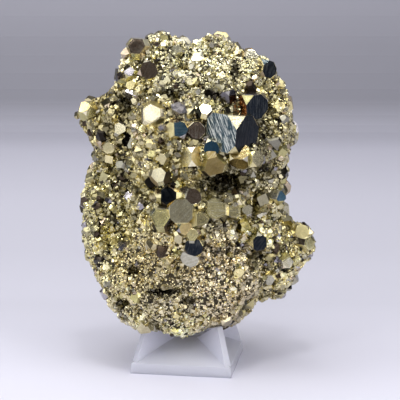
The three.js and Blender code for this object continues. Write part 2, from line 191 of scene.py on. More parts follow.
class Finish:
    """A material being made: a Principled shader with everything else wired into it. A world can be
    finished the same way, through its Background."""

    def __init__(self, name, world=None, **constants):
        self.material = world or bpy.data.materials.new(name)
        self.material.use_nodes = True
        self.tree = self.material.node_tree
        self.shader = self.tree.nodes["Background" if world else "Principled BSDF"]
        self.set(**constants)

    def set(self, **values):
        """Sets the shader's sockets: base_color means Base Color. A Wire is linked, a number is set."""
        for name, value in values.items():
            self._feed(self.shader.inputs[name.replace("_", " ").title().replace("Ior", "IOR")], value)

    def _feed(self, socket, value):
        if isinstance(value, Wire):
            self.tree.links.new(value.socket, socket)
        else:
            socket.default_value = value

    def node(self, kind, settings=None, inputs=None, output=0):
        """Adds a node. settings are its own properties, with "stops" for a colour ramp's stops, and
        inputs are numbers, colours or Wires for its sockets, by name or number."""
        made = self.tree.nodes.new(kind)
        for name, value in (settings or {}).items():
            if name == "stops":
                ramp = made.color_ramp
                while len(ramp.elements) < len(value):
                    ramp.elements.new(0.5)
                for stop, (place, colour) in zip(ramp.elements, value):
                    stop.position, stop.color = place, (*colour, 1)
            else:
                setattr(made, name, value)
        for name, value in (inputs or {}).items():
            self._feed(made.inputs[name], value)
        return Wire(self, made.outputs[output])

    def place(self):
        """The place of each point, in metres."""
        return self.node("ShaderNodeTexCoord", {}, {}, "Object")

    def attribute(self, name, output="Fac"):
        """The number or colour kept for each face under this name."""
        return self.node("ShaderNodeAttribute", {"attribute_name": name}, {}, output)

    def noise(self, where, scale, detail=2.0, roughness=0.5):
        inputs = {"Vector": where, "Scale": scale, "Detail": detail, "Roughness": roughness}
        return self.node("ShaderNodeTexNoise", {}, inputs, "Fac")

    def stretched(self, where, scale):
        """Places multiplied axis by axis. A pattern is drawn out along the axis with the least factor."""
        return self.node("ShaderNodeMapping", {}, {"Vector": where, "Scale": scale})

    def ramp(self, share, stops):
        """A colour read off a row of stops, each a place from 0 to 1 and a colour."""
        return self.node("ShaderNodeValToRGB", {"stops": stops}, {"Fac": share}, "Color")

    def bump(self, height, strength, distance):
        inputs = {"Strength": strength, "Distance": distance, "Height": height}
        return self.node("ShaderNodeBump", {}, inputs)

    def spread(self, value, low, high, to_low=0.0, to_high=1.0):
        """value from low..high to to_low..to_high, and held at the ends."""
        inputs = {0: value, 1: low, 2: high, 3: to_low, 4: to_high}
        return self.node("ShaderNodeMapRange", {"clamp": True}, inputs)

    def mix(self, share, first, second, blend="MIX"):
        """Two colours mixed: share 0 gives the first and 1 gives the second."""
        settings = {"data_type": "RGBA", "blend_type": blend}
        return self.node("ShaderNodeMix", settings, {0: share, 6: first, 7: second}, 2)

    def vector(self, operation, first, second):
        return self.node("ShaderNodeVectorMath", {"operation": operation}, {0: first, 1: second})

    def scaled(self, vector, factor):
        inputs = {0: vector, "Scale": factor}
        return self.node("ShaderNodeVectorMath", {"operation": "SCALE"}, inputs)


# %% [markdown]
# ## Noise in arrays
#
# The rock's knobs, the seams between them and the patches of like-coloured grains all need values that
# wander smoothly or by cells through space. Both are worked out for all points at once from a hash: a
# whole number for each corner of a grid, scrambled so that neighbours share nothing.

# %% Noise helpers
def hashed(cells, seed):
    """Numbers from 0 to 1, one for each row of whole numbers: the row is folded into one number by
    multiplying and adding large primes, and its bits are then mixed by shifts and products."""
    cells = cells.astype(np.int64).astype(np.uint64)
    mixed = cells[..., 0] * np.uint64(73856093) ^ cells[..., 1] * np.uint64(19349663)
    mixed = mixed ^ cells[..., 2] * np.uint64(83492791) ^ np.uint64(seed * 2654435761)
    for shift, prime in ((33, 0xFF51AFD7ED558CCD), (29, 0xC4CEB9FE1A85EC53), (32, 1)):
        mixed = (mixed ^ mixed >> np.uint64(shift)) * np.uint64(prime)
    return (mixed >> np.uint64(11)).astype(float) / 2**53


def smooth_noise(points, spacing, seed):
    """Values from -1 to 1 that wander smoothly: the hashed values at the eight corners of the grid cell
    round a point, mixed by t * t * (3 - 2 * t) along each axis."""
    grid = np.floor(points / spacing)
    share = points / spacing - grid
    share = share * share * (3 - 2 * share)
    total = np.zeros(len(points))
    for step in np.ndindex(2, 2, 2):
        weight = np.prod(np.where(step, share, 1 - share), axis=1)
        total += weight * hashed(grid + step, seed)
    return 2 * total - 1


def cell_noise(points, spacing, seed):
    """Space divided among scattered seeds, one in each grid cell. For each point: the distances to its
    nearest and second nearest seed, as shares of the spacing, and the nearest seed's own cell."""
    grid = np.floor(points / spacing)
    nearest = np.full(len(points), 9.0)
    second = nearest.copy()
    owner = grid.copy()
    for step in np.ndindex(3, 3, 3):
        cell = grid + step - 1
        seeds = cell + np.stack([hashed(cell, seed + k) for k in range(3)], 1)
        away = np.linalg.norm(points / spacing - seeds, axis=1)
        second = np.minimum(second, np.maximum(away, nearest))
        owner = np.where((away < nearest)[:, None], cell, owner)
        nearest = np.minimum(nearest, away)
    return nearest, second, owner


# %% [markdown]
# ## Pyrite's own shapes
#
# A crystal is what is left between pairs of parallel planes. Pyrite uses three families: the six faces
# of the cube, the eight of the octahedron and the twelve of the pyritohedron. How far each family lies
# from the middle decides the habit. So one function cuts every crystal here, and no shape is a list of
# typed-in corners.

# %% Crystal shapes
SIGNS = np.array(list(np.ndindex(2, 2, 2))) * 2 - 1
NEARLY_FLAT = 1e-3  # three directions that span less than this meet in no clear point
OUTSIDE = 1e-6
ON_PLANE = 1e-4


def family(direction):
    """Every direction that pyrite's symmetry makes from one: its axes taken round in turn, and every
    choice of signs."""
    turned = np.stack([np.roll(np.array(direction, float), k) for k in range(3)])
    every = (turned[:, None] * SIGNS).reshape(-1, 3) + 0.0
    return np.unique(every, axis=0) / np.linalg.norm(direction)


CUBE = family((1, 0, 0))
OCTAHEDRON = family((1, 1, 1))
PYRITOHEDRON = family((2, 1, 0))

# The first family listed is the habit's own, and the direction is the one that is turned to the front.
HABITS = {
    "cube": ([(CUBE, 1), (OCTAHEDRON, 1.4)], (-1, 0, 0)),
    "octahedron": ([(OCTAHEDRON, 1), (CUBE, 1.25)], (-1, -1, -1)),
    "pyritohedron": ([(PYRITOHEDRON, 1), (OCTAHEDRON, 1.19)], (-2, -1, 0)),
    "plain_cube": ([(CUBE, 1)], (-1, 0, 0)),
    "plain_octahedron": ([(OCTAHEDRON, 1)], (-1, -1, -1)),
    "cuboctahedron": ([(CUBE, 1), (OCTAHEDRON, 2 / 3**0.5)], (-1, 0, 0)),
}


def planes_of(habit):
    """The outward directions of a habit's faces, and their distances from the middle at size 1."""
    families = HABITS[habit][0]
    directions = np.concatenate([directions for directions, _ in families])
    distances = np.concatenate([np.full(len(d), float(away)) for d, away in families])
    return directions, distances


def cut_solid(directions, distances):
    """The solid inside a set of planes. Its corners are the points where three planes meet, worked out
    for every three at once, less those that lie outside any plane. Each face's corners are then put in
    order by their angle round the face's middle. Returns points, faces and each face's plane."""
    threes = np.array([(i, j, k) for i, j, k in np.ndindex(*[len(directions)] * 3) if i < j < k])
    threes = threes[np.abs(np.linalg.det(directions[threes])) > NEARLY_FLAT]
    points = np.linalg.solve(directions[threes], distances[threes][..., None])[..., 0]
    points = points[(points @ directions.T <= distances + OUTSIDE).all(1)]
    points = np.unique(points.round(6) + 0.0, axis=0)
    faces, planes = [], []
    for number, (normal, away) in enumerate(zip(directions, distances)):
        on_it = np.flatnonzero(np.abs(points @ normal - away) < ON_PLANE)
        if len(on_it) < 3:
            continue
        spokes = points[on_it] - points[on_it].mean(0)
        along = spokes[0] / np.linalg.norm(spokes[0])
        angle = np.arctan2(spokes @ np.cross(normal, along), spokes @ along)
        faces.append(on_it[np.argsort(angle)])
        planes.append(number)
    return points, faces, np.array(planes)


for habit in HABITS:
    points, faces, _ = cut_solid(*planes_of(habit))
    print(f"{habit}: {len(points)} corners, {len(faces)} faces")

# %% [markdown]
# No real crystal is as even as that: one face grows faster than its twin and ends up smaller. So the
# scattered crystals come from a stock of uneven ones, in which each plane is moved in or out a little.

# %% Uneven crystals
UNEVEN_KINDS = 7
draw = np.random.default_rng(11)


def uneven(habit):
    """The habit's solid with the distance of each plane from the middle changed by up to a fifth."""
    directions, distances = planes_of(habit)
    return cut_solid(directions, distances * draw.uniform(0.82, 1.2, len(distances)))


UNEVEN = {habit: [uneven(habit) for _ in range(UNEVEN_KINDS)] for habit in HABITS}
print(UNEVEN_KINDS, "uneven solids for each of", len(UNEVEN), "habits")

# %% [markdown]
# ## The colours of pyrite
#
# Clean pyrite is pale brass. Old faces tarnish: first to gold and rose, then through steel blue to a
# blue-black, and where iron rusts they go brown. These are the reflecting colours of the metal itself,
# so the lights still decide how bright a face looks.

# %% Tarnish colours
BRASS = (0.68, 0.60, 0.31)
PALE = (0.86, 0.80, 0.56)
OLIVE = (0.46, 0.42, 0.20)
GREY = (0.44, 0.42, 0.33)
ROSE = (0.64, 0.53, 0.39)
LILAC = (0.40, 0.38, 0.40)
GOLD = (0.74, 0.58, 0.26)
UMBER = (0.095, 0.07, 0.05)
RUST = (0.55, 0.24, 0.10)
STEEL = (0.045, 0.080, 0.100)
BLUE = (0.05, 0.11, 0.155)
INK = (0.018, 0.045, 0.065)
AMBER = (0.20, 0.15, 0.055)
SAND = (0.38, 0.345, 0.23)
NIGHT = (0.014, 0.018, 0.024)
SOOT = (0.035, 0.030, 0.024)

# %% [markdown]
# ## The big crystals
#
# Each has a place, a size from its middle to a face, a habit, the way its main face looks (degrees round
# from the front towards +X, then degrees upwards) and a spin about that direction. These follow the
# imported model, with a few of the front ones moved or resized a little. Places are measured from the
# stone's own origin, which lies a little off the stand's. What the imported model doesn't have is the
# tarnish: a colour for the main face, then colours for other faces by the way they look. The rest draw
# lots. The biggest also has three of its corner faces moved out, to keep its main face nearly square.

# %% Where the big crystals stand
STONE_AT = np.array([-0.0019, 0, -0.0033])
BIG_CRYSTALS = [
    # along the ledge, with the biggest
    (
        (0.0125, -0.0145, 0.064), 0.0044, "cube", (-39, 0), 6, STEEL,
        {(51, 0): NIGHT, (10, 50): SAND},
        {(-80, 35): 1.12, (-80, -35): 1.1, (5, -35): 1.06},
    ),
    ((0.0173, -0.009, 0.07), 0.0029, "cube", (25, -5), -6, NIGHT, {(-65, 0): RUST}),
    ((-0.0064, -0.0124, 0.068), 0.0027, "octahedron", (-8, 10), 40, PALE),
    ((-0.0004, -0.0144, 0.0643), 0.0027, "pyritohedron", (10, 10), 0, BLUE, {(-30, -10): BRASS}),
    ((0.004, -0.014, 0.0644), 0.002, "cube", (0, 2), 3, UMBER, {(0, 50): PALE}),
    ((0.006, -0.0132, 0.0684), 0.0018, "octahedron", (5, 35), 30, PALE),
    ((0.0079, -0.0162, 0.0606), 0.0018, "cube", (-12, -10), 20, INK),
    ((0.008, -0.0155, 0.057), 0.0029, "octahedron", (5, -18), 60, AMBER, {(5, 50): AMBER}),
    ((0.003, -0.0152, 0.0582), 0.0023, "cube", (42, 5), 0, GOLD, {(-48, 5): BRASS}),
    (
        (0.0143, -0.0166, 0.0584), 0.0022, "cube", (-15, -52), 5, AMBER,
        {(-15, 38): SAND, (25, 25): AMBER, (75, 0): OLIVE},
    ),
    ((0.0174, -0.014, 0.0574), 0.0019, "cube", (40, 10), 0, SAND),
    ((-0.0047, -0.0152, 0.0536), 0.0021, "octahedron", (-8, 12), 0, PALE),
    # the nest in the middle
    ((-0.0018, -0.0138, 0.0482), 0.0026, "octahedron", (-25, 15), 40, NIGHT),
    ((0.0026, -0.0138, 0.0484), 0.003, "pyritohedron", (8, 5), 20, UMBER),
    ((-0.0039, -0.0156, 0.0432), 0.0028, "octahedron", (-14, 16), 15, OLIVE),
    ((0.0001, -0.0152, 0.0446), 0.003, "cube", (5, 14), 45, SAND),
    ((0.0044, -0.0154, 0.043), 0.0025, "pyritohedron", (20, 10), 0, BRASS),
    ((0.001, -0.0167, 0.0412), 0.0016, "cube", (20, 5), 30, GOLD, {(-70, 5): STEEL}),
    ((0.003, -0.0168, 0.0394), 0.0018, "octahedron", (0, 15), 20, BRASS),
    ((0.008, -0.0125, 0.0448), 0.0031, "octahedron", (14, 14), 50, BRASS),
    ((0.0035, -0.0162, 0.037), 0.0021, "cube", (-5, -5), 15, NIGHT),
    ((0.0028, -0.0148, 0.0342), 0.0021, "cube", (-15, -15), -20, GREY),
    ((0.0128, -0.0098, 0.0438), 0.0016, "cube", (14, 20), 10, BRASS),
    ((0.0162, -0.0074, 0.0438), 0.0016, "octahedron", (10, 20), 0, PALE),
    # the crown and the upper left
    ((-0.0104, -0.0016, 0.0836), 0.0026, "octahedron", (-10, 15), 20, UMBER),
    ((-0.008, -0.0046, 0.0782), 0.0021, "cube", (10, 5), 30, UMBER),
    ((-0.012, -0.0038, 0.0773), 0.0018, "pyritohedron", (-20, 25), 50, LILAC),
    ((0.0172, 0.0008, 0.0812), 0.0021, "octahedron", (10, 20), 70, PALE),
    ((0.0208, -0.0015, 0.0786), 0.0021, "cube", (35, 0), 15, NIGHT),
    ((-0.0232, -0.0008, 0.0682), 0.0023, "pyritohedron", (-25, 30), 0, GOLD),
    ((-0.0148, -0.006, 0.064), 0.0017, "octahedron", (0, 10), 45),
    ((-0.0172, -0.005, 0.0595), 0.0015, "cube", (-20, 0), 35),
    ((-0.012, -0.0076, 0.056), 0.0015, "pyritohedron", (-15, 10), 10),
    # the right edge and the wing
    ((0.024, -0.0036, 0.0472), 0.0021, "pyritohedron", (30, 0), 25, BLUE),
    ((0.0304, 0.0002, 0.037), 0.0018, "cube", (15, 22), 20, BRASS),
    ((0.0316, 0, 0.0346), 0.0021, "octahedron", (30, 5), 0, OLIVE),
    ((0.0188, -0.0088, 0.0366), 0.002, "cube", (20, -5), 40, NIGHT),
    ((0.0262, -0.002, 0.03), 0.0021, "pyritohedron", (20, 5), 65, PALE),
    ((0.0226, -0.0022, 0.026), 0.0017, "octahedron", (-10, -10), 15),
    # behind
    ((0.012, 0.0178, 0.068), 0.003, "cube", (155, 20), 20, STEEL),
    ((0.004, 0.0188, 0.063), 0.0036, "pyritohedron", (-175, 10), 10),
    ((-0.005, 0.0152, 0.07), 0.0023, "octahedron", (-140, 25), 0),
    ((0.015, 0.017, 0.057), 0.0024, "cube", (165, -20), 50),
    ((-0.003, 0.0168, 0.043), 0.0026, "octahedron", (-165, 10), 35, BLUE),
    ((0.006, 0.016, 0.036), 0.0032, "cube", (150, 0), 30),
    ((-0.012, 0.016, 0.038), 0.0022, "pyritohedron", (-160, 20), 0),
    ((0.002, 0.0168, 0.027), 0.0024, "octahedron", (170, 0), 55),
    ((0.024, 0.01, 0.03), 0.002, "cube", (-165, 15), 10),
    # the sides and the top
    ((-0.0218, 0.006, 0.052), 0.002, "cube", (-110, 20), 25),
    ((-0.0234, -0.003, 0.046), 0.0018, "octahedron", (-85, 5), 0),
    ((-0.0226, 0.003, 0.031), 0.0022, "pyritohedron", (-100, -10), 40),
    ((0.0268, 0.008, 0.062), 0.0028, "cube", (105, 0), 35, NIGHT),
    ((0.026, 0.0015, 0.07), 0.0021, "octahedron", (80, 10), 20),
    ((0.0254, 0.006, 0.042), 0.0024, "pyritohedron", (100, 5), 0),
    ((0, 0.0055, 0.0842), 0.002, "cube", (130, 40), 15),
    ((0.01, 0.005, 0.0854), 0.0021, "octahedron", (165, 60), 0),
]


def looking(around, upwards):
    """The direction that lies so many degrees round from the front towards +X, and so many up."""
    a, e = radians(around), radians(upwards)
    return np.array([np.sin(a) * np.cos(e), -np.cos(a) * np.cos(e), np.sin(e)])


def turn_of(habit, facing, spin):
    """The turn that takes a crystal from its own axes to its place: its main face to the front, then the
    spin about that direction, then up, then round."""
    front = Vector(HABITS[habit][1]).normalized()
    turn = front.rotation_difference(Vector((0, -1, 0))).to_matrix()
    for angle, axis in ((spin, "Y"), (-facing[1], "X"), (facing[0], "Z")):
        turn = Matrix.Rotation(radians(angle), 3, axis) @ turn
    return np.array(turn)


print(len(BIG_CRYSTALS), "big crystals")

# %% [markdown]
# Growth leaves low steps on a crystal's faces: each new layer stops a little short of the edge. A plain
# polygon would look like cut glass, so each face here is built as one to three layers, each a shrunken
# copy of the face lifted by a few hundredths of a millimetre. Fine lines run along one of the crystal's
# axes, so each corner also gets a place along and across that axis for the material to draw them by.

# %% Build the big crystals
STEP_HEIGHT = 0.000035
EDGE_ROUND = 0.00011
LINE_UNIT = 0.001  # the map of the growth lines is in millimetres
STEEL_LINED = 0.95
STEEL_SLOPE = np.array([0.5, 0, -0.85])
LOTS = np.array([BRASS, PALE, OLIVE, GREY, ROSE, LILAC, GOLD, STEEL, UMBER, NIGHT])
CHANCES = np.array([28, 16, 16, 14, 8, 6, 4, 2, 4, 2]) / 100


def stepped_face(ring, normal, layers):
    """One face as growth layers. The outer ring is the face itself. Each layer is the same ring drawn
    in towards a point near its middle and lifted along the normal; a riser joins it to the last."""
    middle = ring.mean(0) + (ring[draw.integers(len(ring))] - ring.mean(0)) * draw.uniform(0, 0.35)
    rings = [ring]
    for number in range(layers):
        inset = draw.uniform(0.08, 0.22)
        lifted = middle + (rings[-1] - middle) * (1 - inset)
        rings.append(lifted + normal * STEP_HEIGHT * 0.4)
        rings.append(middle + (lifted - middle) * 0.985 + normal * STEP_HEIGHT)
    return rings


def big_crystal(place, size, habit, facing, spin, tint=None, others=None, clipping=None):
    """Arrays for one crystal: its points, the corners and counts of its faces, for each face its tint,
    its gleam and how plainly it is lined, and for each corner its place along and across the lines. The
    corner faces lie a little nearer or farther than the habit says, and clipping moves the faces that
    look in its directions by its factors. Steel-blue faces are lined the most, all along one slope."""
    directions, distances = planes_of(habit)
    turn = turn_of(habit, facing, spin)
    corner_face = distances > 1.01
    distances = distances * np.where(corner_face, draw.uniform(0.92, 1.03, len(distances)), 1)
    for direction, factor in (clipping or {}).items():
        distances[np.argmax(directions @ turn.T @ looking(*direction))] *= factor
    points, faces, planes = cut_solid(directions, distances)
    normals = directions[planes] @ turn.T
    lots = LOTS[draw.choice(len(LOTS), len(faces), p=CHANCES)]
    for direction, colour in {facing: tint, **(others or {})}.items():
        if colour:
            lots[np.argmax(normals @ looking(*direction))] = colour
    placed = (points * size) @ turn.T + STONE_AT + place
    made = [placed]
    corners, counts, tint_of, gleam_of, lines_of, maps = [], [], [], [], [], []
    total = len(placed)
    for face, normal, lot in zip(faces, normals, lots):
        layers = int(draw.integers(0, 3))
        rings = stepped_face(placed[face], normal, layers)
        numbers = [np.array(face)]
        for ring in rings[1:]:
            numbers.append(total + np.arange(len(ring)))
            made.append(ring)
            total += len(ring)
        quads = [
            np.stack([a, np.roll(a, -1), np.roll(b, -1), b], 1).ravel()
            for a, b in zip(numbers, numbers[1:])
        ]
        here = np.concatenate([*quads, numbers[-1]])
        corners.append(here)
        sides = [4] * (len(face) * len(quads)) + [len(face)]
        counts += sides
        gleam = draw.uniform()
        tint_of += [lot * draw.uniform(0.92, 1.08)] * len(sides)
        gleam_of += [gleam] * len(sides)
        steel = tuple(lot) == STEEL
        lined = STEEL_LINED if steel else draw.uniform(0, 0.44) * lot.mean() ** 0.5
        lines_of += [lined] * len(sides)
        line = STEEL_SLOPE if steel else turn[:, int(draw.integers(3))]
        line = line - normal * (line @ normal)
        if np.linalg.norm(line) < 0.3:
            line = np.cross(normal, turn[:, 0] + turn[:, 1] * 0.5)
        line /= np.linalg.norm(line)
        flat = np.stack([line, np.cross(normal, line)], 1)
        maps.append((flat, here, draw.uniform(0, 9, 2)))
    all_points = np.concatenate(made)
    lines = [all_points[here] @ flat / LINE_UNIT + shift for flat, here, shift in maps]
    looks = {"tint": np.array(tint_of), "gleam": np.array(gleam_of), "lined": np.array(lines_of)}
    return all_points, np.concatenate(corners), np.array(counts), looks, np.concatenate(lines)


parts = [big_crystal(*entry) for entry in BIG_CRYSTALS]
starts = np.cumsum([0] + [len(part[0]) for part in parts[:-1]])
big_crystals = mesh_piece(
    "big_crystals",
    np.concatenate([part[0] for part in parts]),
    np.concatenate([part[1] + start for part, start in zip(parts, starts)]),
    np.concatenate([part[2] for part in parts]),
    {key: np.concatenate([part[3][key] for part in parts]) for key in ("tint", "gleam", "lined")},
)
line_map = big_crystals.data.uv_layers.new(name="growth_lines")
line_places = np.concatenate([part[4] for part in parts])
line_map.uv.foreach_set("vector", line_places.astype(np.float32).ravel())
round_edges(big_crystals, EDGE_ROUND, 2)
big_mesh = big_crystals.data
print("big crystals:", len(big_mesh.vertices), "corners,", len(big_mesh.polygons), "faces")

# %% [markdown]
# ## The rock under the crystals
#
# What shows between the crystals is dark, and full of holes. It could be modelled apart, but the packed
# cluster already has the lumps and hollows at their true size. So its skin is copied, remeshed finely
# and pushed inwards: a little everywhere, more by smooth waves, and most along the seams between
# scattered cells, which turns the surface into knobs with dark cracks between them.

# %% Knobbly rock
ROCK_CELL = 0.00055
SKIN_DEPTH = 0.00025  # the least that the rock lies under the tips of the grains
WAVE_DEPTH = 0.0006
SEAM_DEPTH = 0.0024
KNOB_SPACING = 0.0052
CRACK_SPACING = 0.42 * KNOB_SPACING
SEAM_WIDTH, CRACK_WIDTH = 0.34, 0.3  # in cells

# Caves and clefts: place, reach along each axis, and how much deeper the rock lies in them.
CAVES = [
    ((0.0114, -0.0165, 0.0513), (0.0060, 0.009, 0.0031), 0.0100),  # under the ledge
    ((0.0200, -0.0120, 0.0545), (0.0030, 0.006, 0.0020), 0.0028),
    ((-0.0117, -0.0180, 0.0300), (0.0020, 0.008, 0.0016), 0.0030),
    ((0.0195, -0.0130, 0.0325), (0.0026, 0.008, 0.0030), 0.0040),
    ((-0.0040, -0.0180, 0.0254), (0.0044, 0.008, 0.0011), 0.0024),
    ((0.0020, -0.0180, 0.0228), (0.0020, 0.008, 0.0018), 0.0022),
    ((-0.0145, -0.0150, 0.0212), (0.0018, 0.008, 0.0013), 0.0022),
    ((0.0175, -0.0120, 0.0185), (0.0020, 0.008, 0.0030), 0.0034),
    ((0.0160, 0.0180, 0.0470), (0.0060, 0.008, 0.0022), 0.0040),
    ((-0.0090, 0.0180, 0.0470), (0.0026, 0.008, 0.0040), 0.0034),
    ((-0.0140, -0.0060, 0.0700), (0.0016, 0.008, 0.0030), 0.0024),
    ((-0.0020, -0.0120, 0.0730), (0.0034, 0.008, 0.0012), 0.0022),
    ((0.0135, -0.0060, 0.0780), (0.0014, 0.008, 0.0030), 0.0022),
]


def columns(rows):
    """A table's columns as arrays, with the places in the first one moved to the frame's origin."""
    places, *others = (np.array(column) for column in zip(*rows))
    return places + STONE_AT, *others


CAVE_PLACES, CAVE_REACHES, CAVE_DEPTHS = columns(CAVES)


def cave_share(points):
    """For each point and cave, exp(-(distance / reach) to the 4th), with the reaches taken axis by axis:
    1 well inside a cave and soon 0 past its reach."""
    away = (points[:, None] - CAVE_PLACES) / CAVE_REACHES
    return np.exp(-((away**2).sum(2) ** 2))


def push_of(points):
    """How deep the rock lies at each point: the skin's depth, waves of two sizes, the caves, and seams
    that are deepest where a point's nearest and second nearest cell seeds are equally far away."""
    near, second, _ = cell_noise(points, KNOB_SPACING, 5)
    seam = np.clip(1 - (second - near) / SEAM_WIDTH, 0, 1) ** 2
    patchy = np.clip(0.55 + 0.9 * smooth_noise(points, 0.011, 21), 0, 1)
    near, second, _ = cell_noise(points, CRACK_SPACING, 9)
    crack = np.clip(1 - (second - near) / CRACK_WIDTH, 0, 1) ** 2
    waves = 0.5 + 0.35 * smooth_noise(points, 0.004, 2) + 0.15 * smooth_noise(points, 0.0017, 3)
    caves = cave_share(points) @ CAVE_DEPTHS
    seams = SEAM_DEPTH * patchy * seam + 0.45 * WAVE_DEPTH * crack
    return SKIN_DEPTH + WAVE_DEPTH * waves + seams + caves


def remeshed(node, cell):
    """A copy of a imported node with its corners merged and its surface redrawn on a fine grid."""
    copy = in_scene(node + "_copy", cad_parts[node].data.copy())
    weld(copy)
    redraw = copy.modifiers.new("redraw", "REMESH")
    redraw.mode = "VOXEL"
    redraw.voxel_size = cell
    evaluated = copy.evaluated_get(bpy.context.evaluated_depsgraph_get())
    mesh = bpy.data.meshes.new_from_object(evaluated)
    bpy.data.objects.remove(copy)
    return mesh


def array_of(items, key, width, kind=np.float32):
    """One property of every item of a mesh, as an array with a row for each item."""
    values = np.empty(len(items) * width, kind)
    items.foreach_get(key, values)
    return values.reshape(-1, width)


rock_mesh = remeshed("pyrite_cluster", ROCK_CELL)
skin = array_of(rock_mesh.vertices, "co", 3).astype(float)
outwards = array_of(rock_mesh.vertices, "normal", 3).astype(float)
rock_points = skin - outwards * push_of(skin)[:, None]
quads = array_of(rock_mesh.polygons, "vertices", 4, np.int32)
rock = mesh_piece("rock", rock_points, quads.ravel(), np.full(len(quads), 4))
rock.data.shade_smooth()
print("rock:", len(rock_points), "corners,", len(quads), "faces")

# %% [markdown]
# ## Scattering crystals over the rock
#
# The druse is far too fine to place by hand. Points are drawn on the rock's faces by area, then thinned
# so that coarse crystals are drawn less often than fine ones and cover the same share of the rock.
# Where they are coarse and how they are tarnished goes by regions, each a place with a reach; the tints
# of the crown and the left flank are also made paler, as painted light. Each crystal is a copy of one of
# the cut shapes, and all copies of a shape are turned, scaled and moved in one sum on arrays.

# %% Regions of the druse
# Place, reach, size of a grain (from its middle to a face), share of small crystals, tint.
REGIONS = [
    # The crown's tint is pale brass made paler still, as painted light from above.
    ((0.004, -0.008, 0.080), 0.014, 0.00030, 0.30, (0.95, 0.90, 0.62)),  # the crown
    ((-0.013, -0.004, 0.062), 0.013, 0.00042, 1.00, (0.62, 0.54, 0.29)),  # upper left, coarse
    ((0.020, -0.006, 0.068), 0.011, 0.00030, 0.25, (0.62, 0.56, 0.32)),  # upper right
    ((0.016, -0.010, 0.050), 0.009, 0.00036, 0.90, (0.68, 0.63, 0.43)),  # right of the cave
    # The left flank's tint is made paler, as painted light from the left.
    ((-0.019, -0.006, 0.044), 0.011, 0.00030, 0.25, (0.82, 0.76, 0.42)),  # left flank
    ((-0.008, -0.014, 0.033), 0.007, 0.00026, 0.15, (0.88, 0.73, 0.38)),
    ((-0.004, -0.014, 0.022), 0.012, 0.00026, 0.12, (0.82, 0.74, 0.48)),  # lower lump
    ((0.011, -0.014, 0.027), 0.011, 0.00025, 0.08, (0.86, 0.74, 0.53)),
    ((0.026, -0.004, 0.030), 0.010, 0.00034, 0.60, (0.76, 0.69, 0.40)),  # wing
    ((0.000, -0.013, 0.055), 0.010, 0.00038, 1.00, BRASS),  # ledge
    ((0.002, -0.014, 0.044), 0.008, 0.00036, 0.90, (0.60, 0.55, 0.36)),  # nest
    ((0.008, 0.018, 0.062), 0.016, 0.00036, 0.55, BRASS),  # behind
    ((-0.006, 0.018, 0.035), 0.016, 0.00032, 0.35, OLIVE),
]
REGION_PLACES, REGION_REACHES, *region_columns = columns(REGIONS)
REGION_VALUES = np.column_stack(region_columns)  # size, share of small crystals, and the tint's three


def nearness(points, places, reaches):
    """For each point and place, exp(-(distance / reach) squared): 1 at the place, 0 well past its reach."""
    away = np.linalg.norm(points[:, None] - places, axis=2) / reaches
    return np.exp(-away * away)


def region_values(points):
    """The regions' values weighted by nearness, and evened out where no region reaches."""
    weight = nearness(points, REGION_PLACES, REGION_REACHES) + 0.01
    return weight @ REGION_VALUES / weight.sum(1, keepdims=True)


# %% [markdown]
# A crystal needs a place on the rock, a turn, and room: none of the scattered ones may start inside a
# big one. Each of these is a question about thousands of points, answered for all of them at once.

# %% Points on the rock
def drawn_on_rock(count):
    """count points on the rock's faces, drawn by area, each with the face's outward normal. A point of a
    four-cornered face mixes its corners by two shares."""
    a, b, c, d = (rock_points[quads[:, k]] for k in range(4))
    normals = np.cross(c - a, d - b)
    areas = np.linalg.norm(normals, axis=1) / 2
    faces = draw.choice(len(quads), count, p=areas / areas.sum())
    u, v = draw.uniform(size=(2, count, 1))
    low = a[faces] + (b[faces] - a[faces]) * u
    high = d[faces] + (c[faces] - d[faces]) * u
    return low + (high - low) * v, normals[faces] / (2 * areas[faces, None]), areas.sum()


def turns_from(quaternions):
    """Turning matrices from rows of four numbers, each row a quaternion once its length is 1."""
    w, x, y, z = (quaternions / np.linalg.norm(quaternions, axis=1, keepdims=True)).T
    rows = [
        [1 - 2 * (y * y + z * z), 2 * (x * y - z * w), 2 * (x * z + y * w)],
        [2 * (x * y + z * w), 1 - 2 * (x * x + z * z), 2 * (y * z - x * w)],
        [2 * (x * z - y * w), 2 * (y * z + x * w), 1 - 2 * (x * x + y * y)],
    ]
    return np.moveaxis(np.array(rows), 2, 0)


def off_big_crystals(points, margin):
    """Which points are clear of every big crystal: outside at least one of its planes by the margin."""
    clear = np.ones(len(points), bool)
    margin = np.broadcast_to(margin, len(points))
    for place, size, habit, facing, spin, *_ in BIG_CRYSTALS:
        directions, distances = planes_of(habit)
        offset = points - STONE_AT - place
        near = np.linalg.norm(offset, axis=1) < 2 * size + margin
        along = offset[near] @ (directions @ turn_of(habit, facing, spin).T).T
        within = (along < distances * size + margin[near, None]).all(1)
        clear[np.flatnonzero(near)[within]] = False
    return clear
